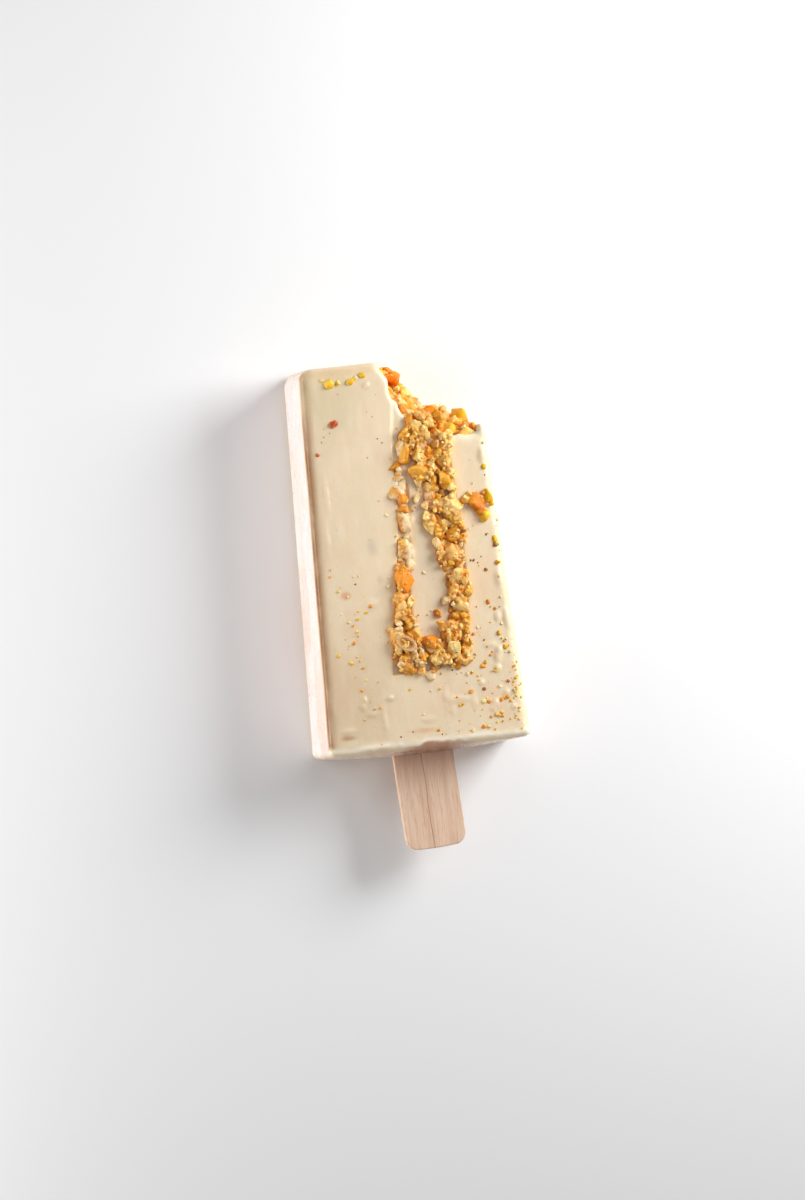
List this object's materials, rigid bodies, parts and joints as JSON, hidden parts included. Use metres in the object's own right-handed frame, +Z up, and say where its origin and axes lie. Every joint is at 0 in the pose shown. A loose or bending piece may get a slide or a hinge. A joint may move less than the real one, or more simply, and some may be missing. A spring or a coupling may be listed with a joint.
{
  "type": "ice cream bar on a stick",
  "caption": "Tapered white-coated ice cream bar on a flat wooden stick, lying on its back, with a bite out of one tip corner and a band of chopped nuts on its face.",
  "frame": {"origin": "bottom centre of the object's box, on the flat back face that it lies on", "axes": "+Y along the bar from the stick to the bitten tip, +Z up out of the face with the nuts, +X across the bar"},
  "size_m": [0.057, 0.135, 0.0287],
  "materials": {
    "white_coating": "smooth white-chocolate-like ice cream coating, soft uneven gloss",
    "nut_filling": "golden nut crumble with paler cut faces, matte",
    "chopped_nuts": "roasted chopped peanuts, golden with paler cut faces, slightly oily",
    "birch_wood": "plain sawn light wood, fine grain along the stick, unvarnished"
  },
  "bodies": {
    "root": {"coating": "white_coating", "filling": "nut_filling", "nut_band": "chopped_nuts", "nut_clump": "chopped_nuts", "stick": "birch_wood"}
  },
  "joints": []
}
